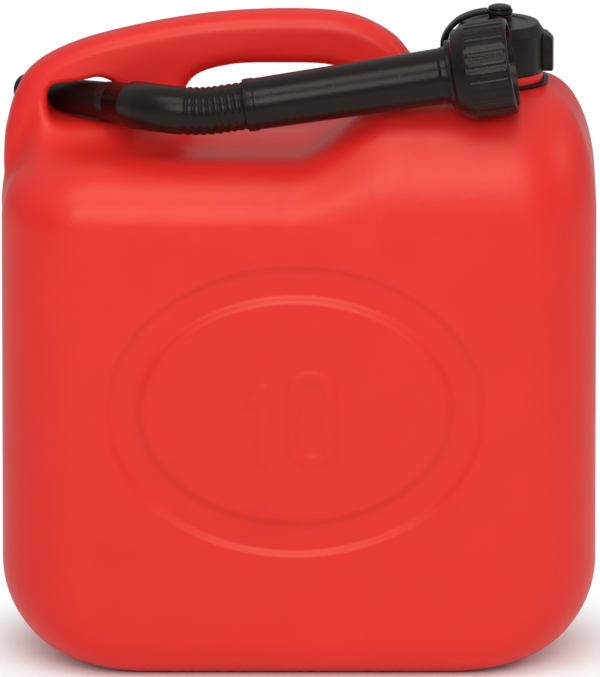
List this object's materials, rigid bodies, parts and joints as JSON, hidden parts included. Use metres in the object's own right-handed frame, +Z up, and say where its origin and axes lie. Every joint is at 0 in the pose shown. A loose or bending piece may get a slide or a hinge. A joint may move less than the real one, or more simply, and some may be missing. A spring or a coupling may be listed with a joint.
{
  "type": "fuel can",
  "caption": "Blow-moulded plastic fuel can with a slab handle, a lugged screw cap on a tether and a flexible pouring spout stowed along its shoulder.",
  "frame": {"origin": "centre of the can's flat base, on the surface it stands on", "axes": "+Z up; +X along the can's width towards the neck; -Y towards the face with the oval groove, the side the picture was taken from"},
  "size_m": [0.308, 0.1521, 0.3491],
  "materials": {
    "red_plastic": "satin, slightly orange-peeled moulded polyethylene",
    "black_plastic": "satin moulded polyethylene",
    "black_rubber": "matt"
  },
  "bodies": {
    "can": {"can_body": "red_plastic"},
    "tether_end": {"cap_tether": "black_plastic"},
    "cap": {"screw_cap": "black_plastic", "cap_seal": "black_rubber"},
    "spout_outlet": {"spout_tip": "black_plastic", "spout_hose": "black_plastic"},
    "spout_pipe": {"spout_barrel": "black_plastic", "spout_seal": "black_rubber"},
    "union_nut": {"spout_nut": "black_plastic"}
  },
  "joints": [
    {"name": "cap_lift", "type": "slide", "parent": "can", "child": "tether_end", "axis": [0, 0, 1], "range_m": [0, 0.01], "deforming": ["cap_tether"]},
    {"name": "cap_turn", "type": "hinge", "parent": "tether_end", "child": "cap", "pos_m": [0.104, 0, 0.31], "axis": [0, 0, 1], "range_deg": [0, 720]},
    {"name": "spout_draw", "type": "slide", "parent": "can", "child": "spout_outlet", "axis": [0.6123, -0.7837, 0.1045], "range_m": [0, 0.075]},
    {"name": "spout_bend", "type": "hinge", "parent": "spout_outlet", "child": "spout_pipe", "pos_m": [-0.0439, -0.0472, 0.2988], "axis": [0, 0, -1], "range_deg": [0, 70], "deforming": ["spout_hose"]},
    {"name": "nut_turn", "type": "hinge", "parent": "spout_pipe", "child": "union_nut", "pos_m": [0.1102, -0.0546, 0.32454], "axis": [0.9852, -0.0472, 0.1649], "continuous": true}
  ],
  "couplings": [
    {"joint": "cap_lift", "follows": "cap_turn", "m_per_rad": 0.000795}
  ]
}
